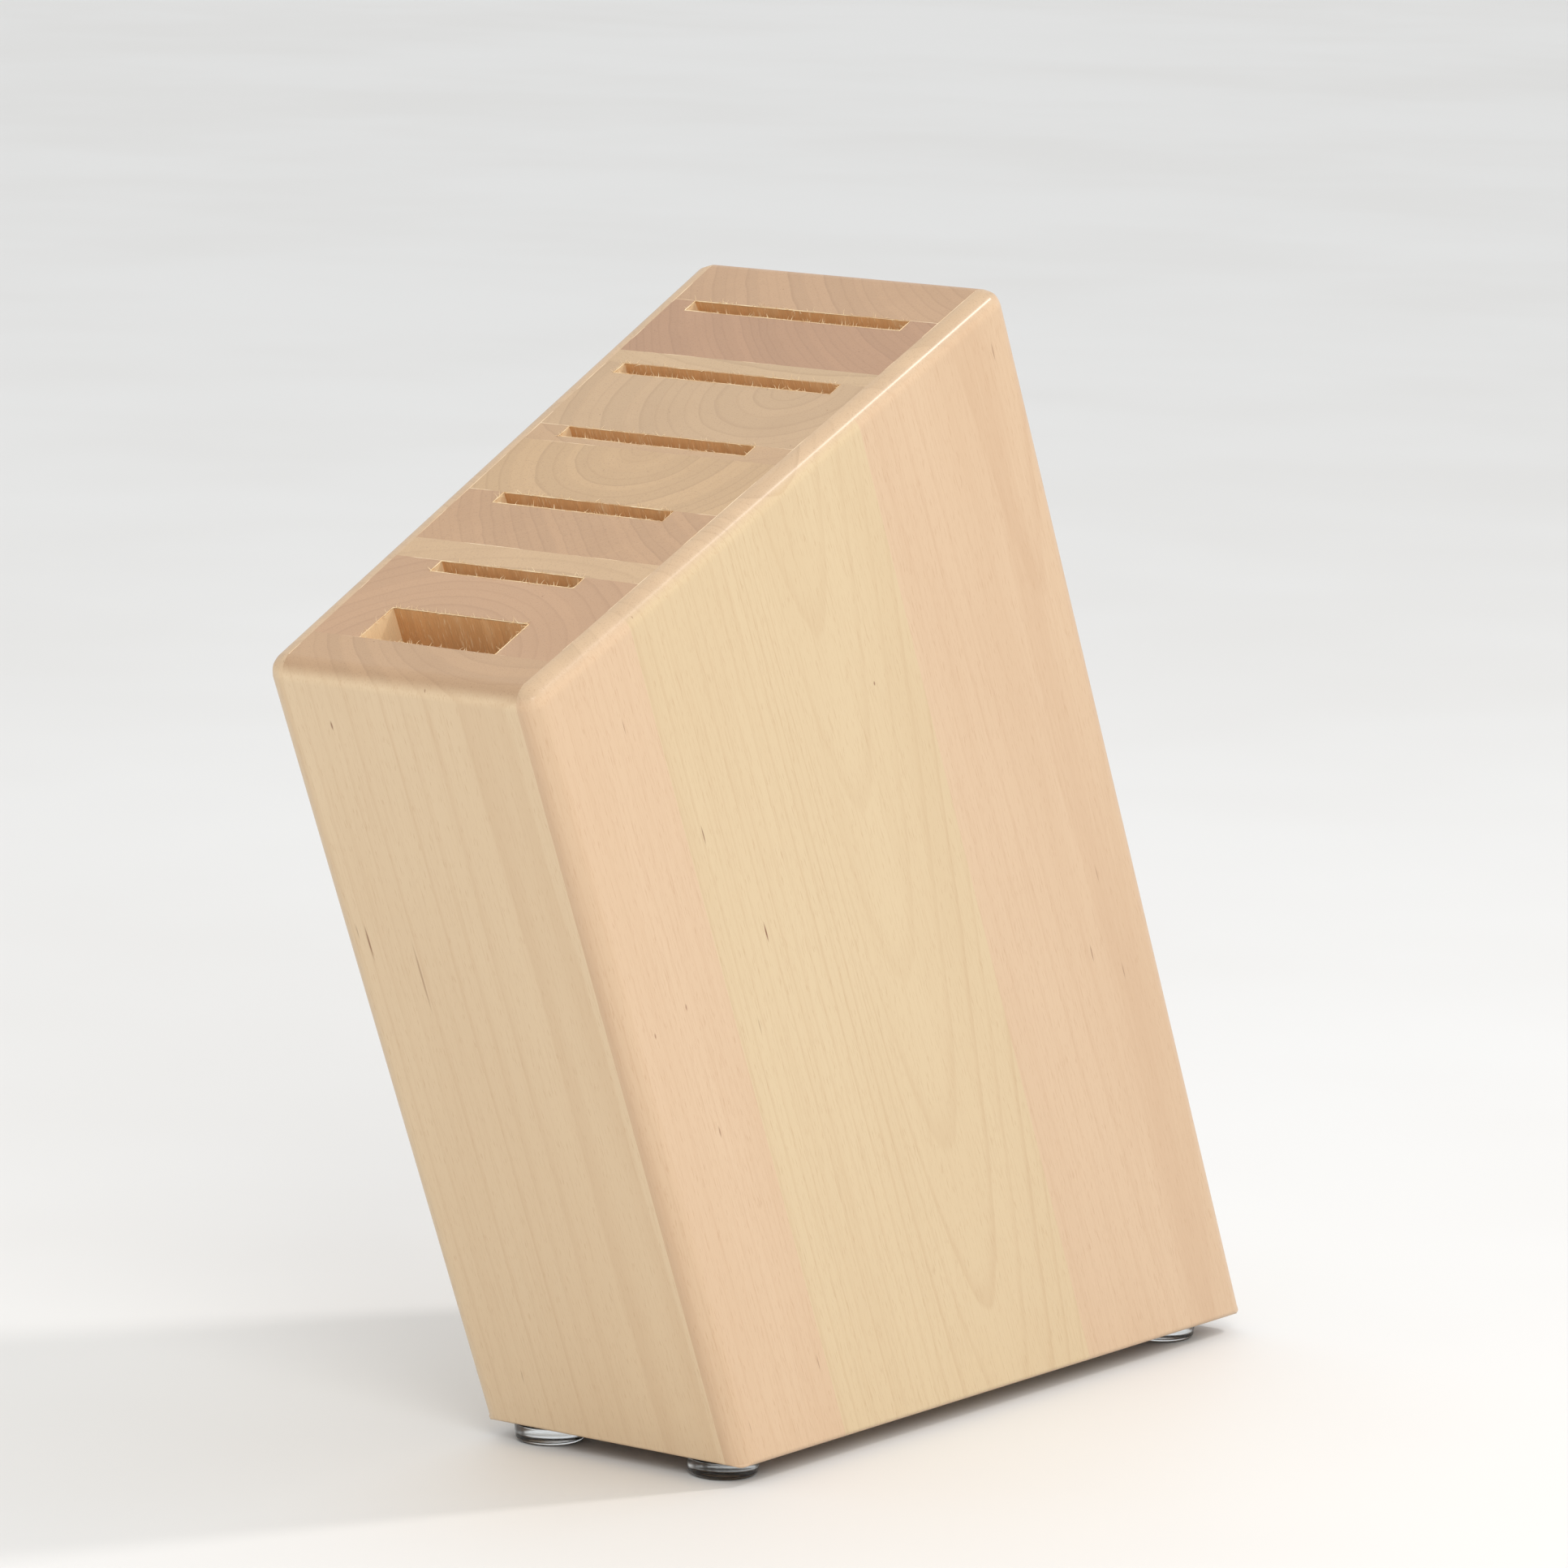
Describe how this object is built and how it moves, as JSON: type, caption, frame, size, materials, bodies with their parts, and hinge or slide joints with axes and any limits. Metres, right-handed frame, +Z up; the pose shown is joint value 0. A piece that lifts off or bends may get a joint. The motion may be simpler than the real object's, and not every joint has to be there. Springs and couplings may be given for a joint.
{
  "type": "knife block",
  "caption": "Leaning countertop knife block of glued wooden boards, empty, with blade slots in its sloping top, a wide shears slot and clear bumper feet.",
  "frame": {"origin": "on the resting plane, at the middle of the footprint's bounding box", "axes": "+Z up; +Y from the low front towards the tall back, the way the top slopes up; +X to the right seen from the front"},
  "size_m": [0.0642, 0.2154, 0.2004],
  "materials": {
    "light_maple": "satin clear-coated long grain, cut across the grain on top",
    "amber_maple": "satin, darker reddish-brown heartwood boards",
    "pale_maple": "satin, pale yellow sapwood",
    "clear_bumper": "clear soft polyurethane, glossy",
    "clear_adhesive": "clear pressure-sensitive adhesive"
  },
  "bodies": {
    "root": {"front_board": "light_maple", "shears_board": "light_maple", "utility_cover": "light_maple", "carving_board": "light_maple", "slicer_board": "light_maple", "back_board": "light_maple", "left_front_stave": "light_maple", "left_back_stave": "light_maple", "right_front_stave": "light_maple", "right_back_stave": "light_maple", "utility_board": "amber_maple", "chef_board": "amber_maple", "paring_cover": "pale_maple", "slicer_cover": "pale_maple", "left_middle_stave": "pale_maple", "right_middle_stave": "pale_maple", "foot_front_left": "clear_bumper", "foot_front_right": "clear_bumper", "foot_back_left": "clear_bumper", "foot_back_right": "clear_bumper", "adhesive_front_left": "clear_adhesive", "adhesive_front_right": "clear_adhesive", "adhesive_back_left": "clear_adhesive", "adhesive_back_right": "clear_adhesive"}
  },
  "joints": []
}
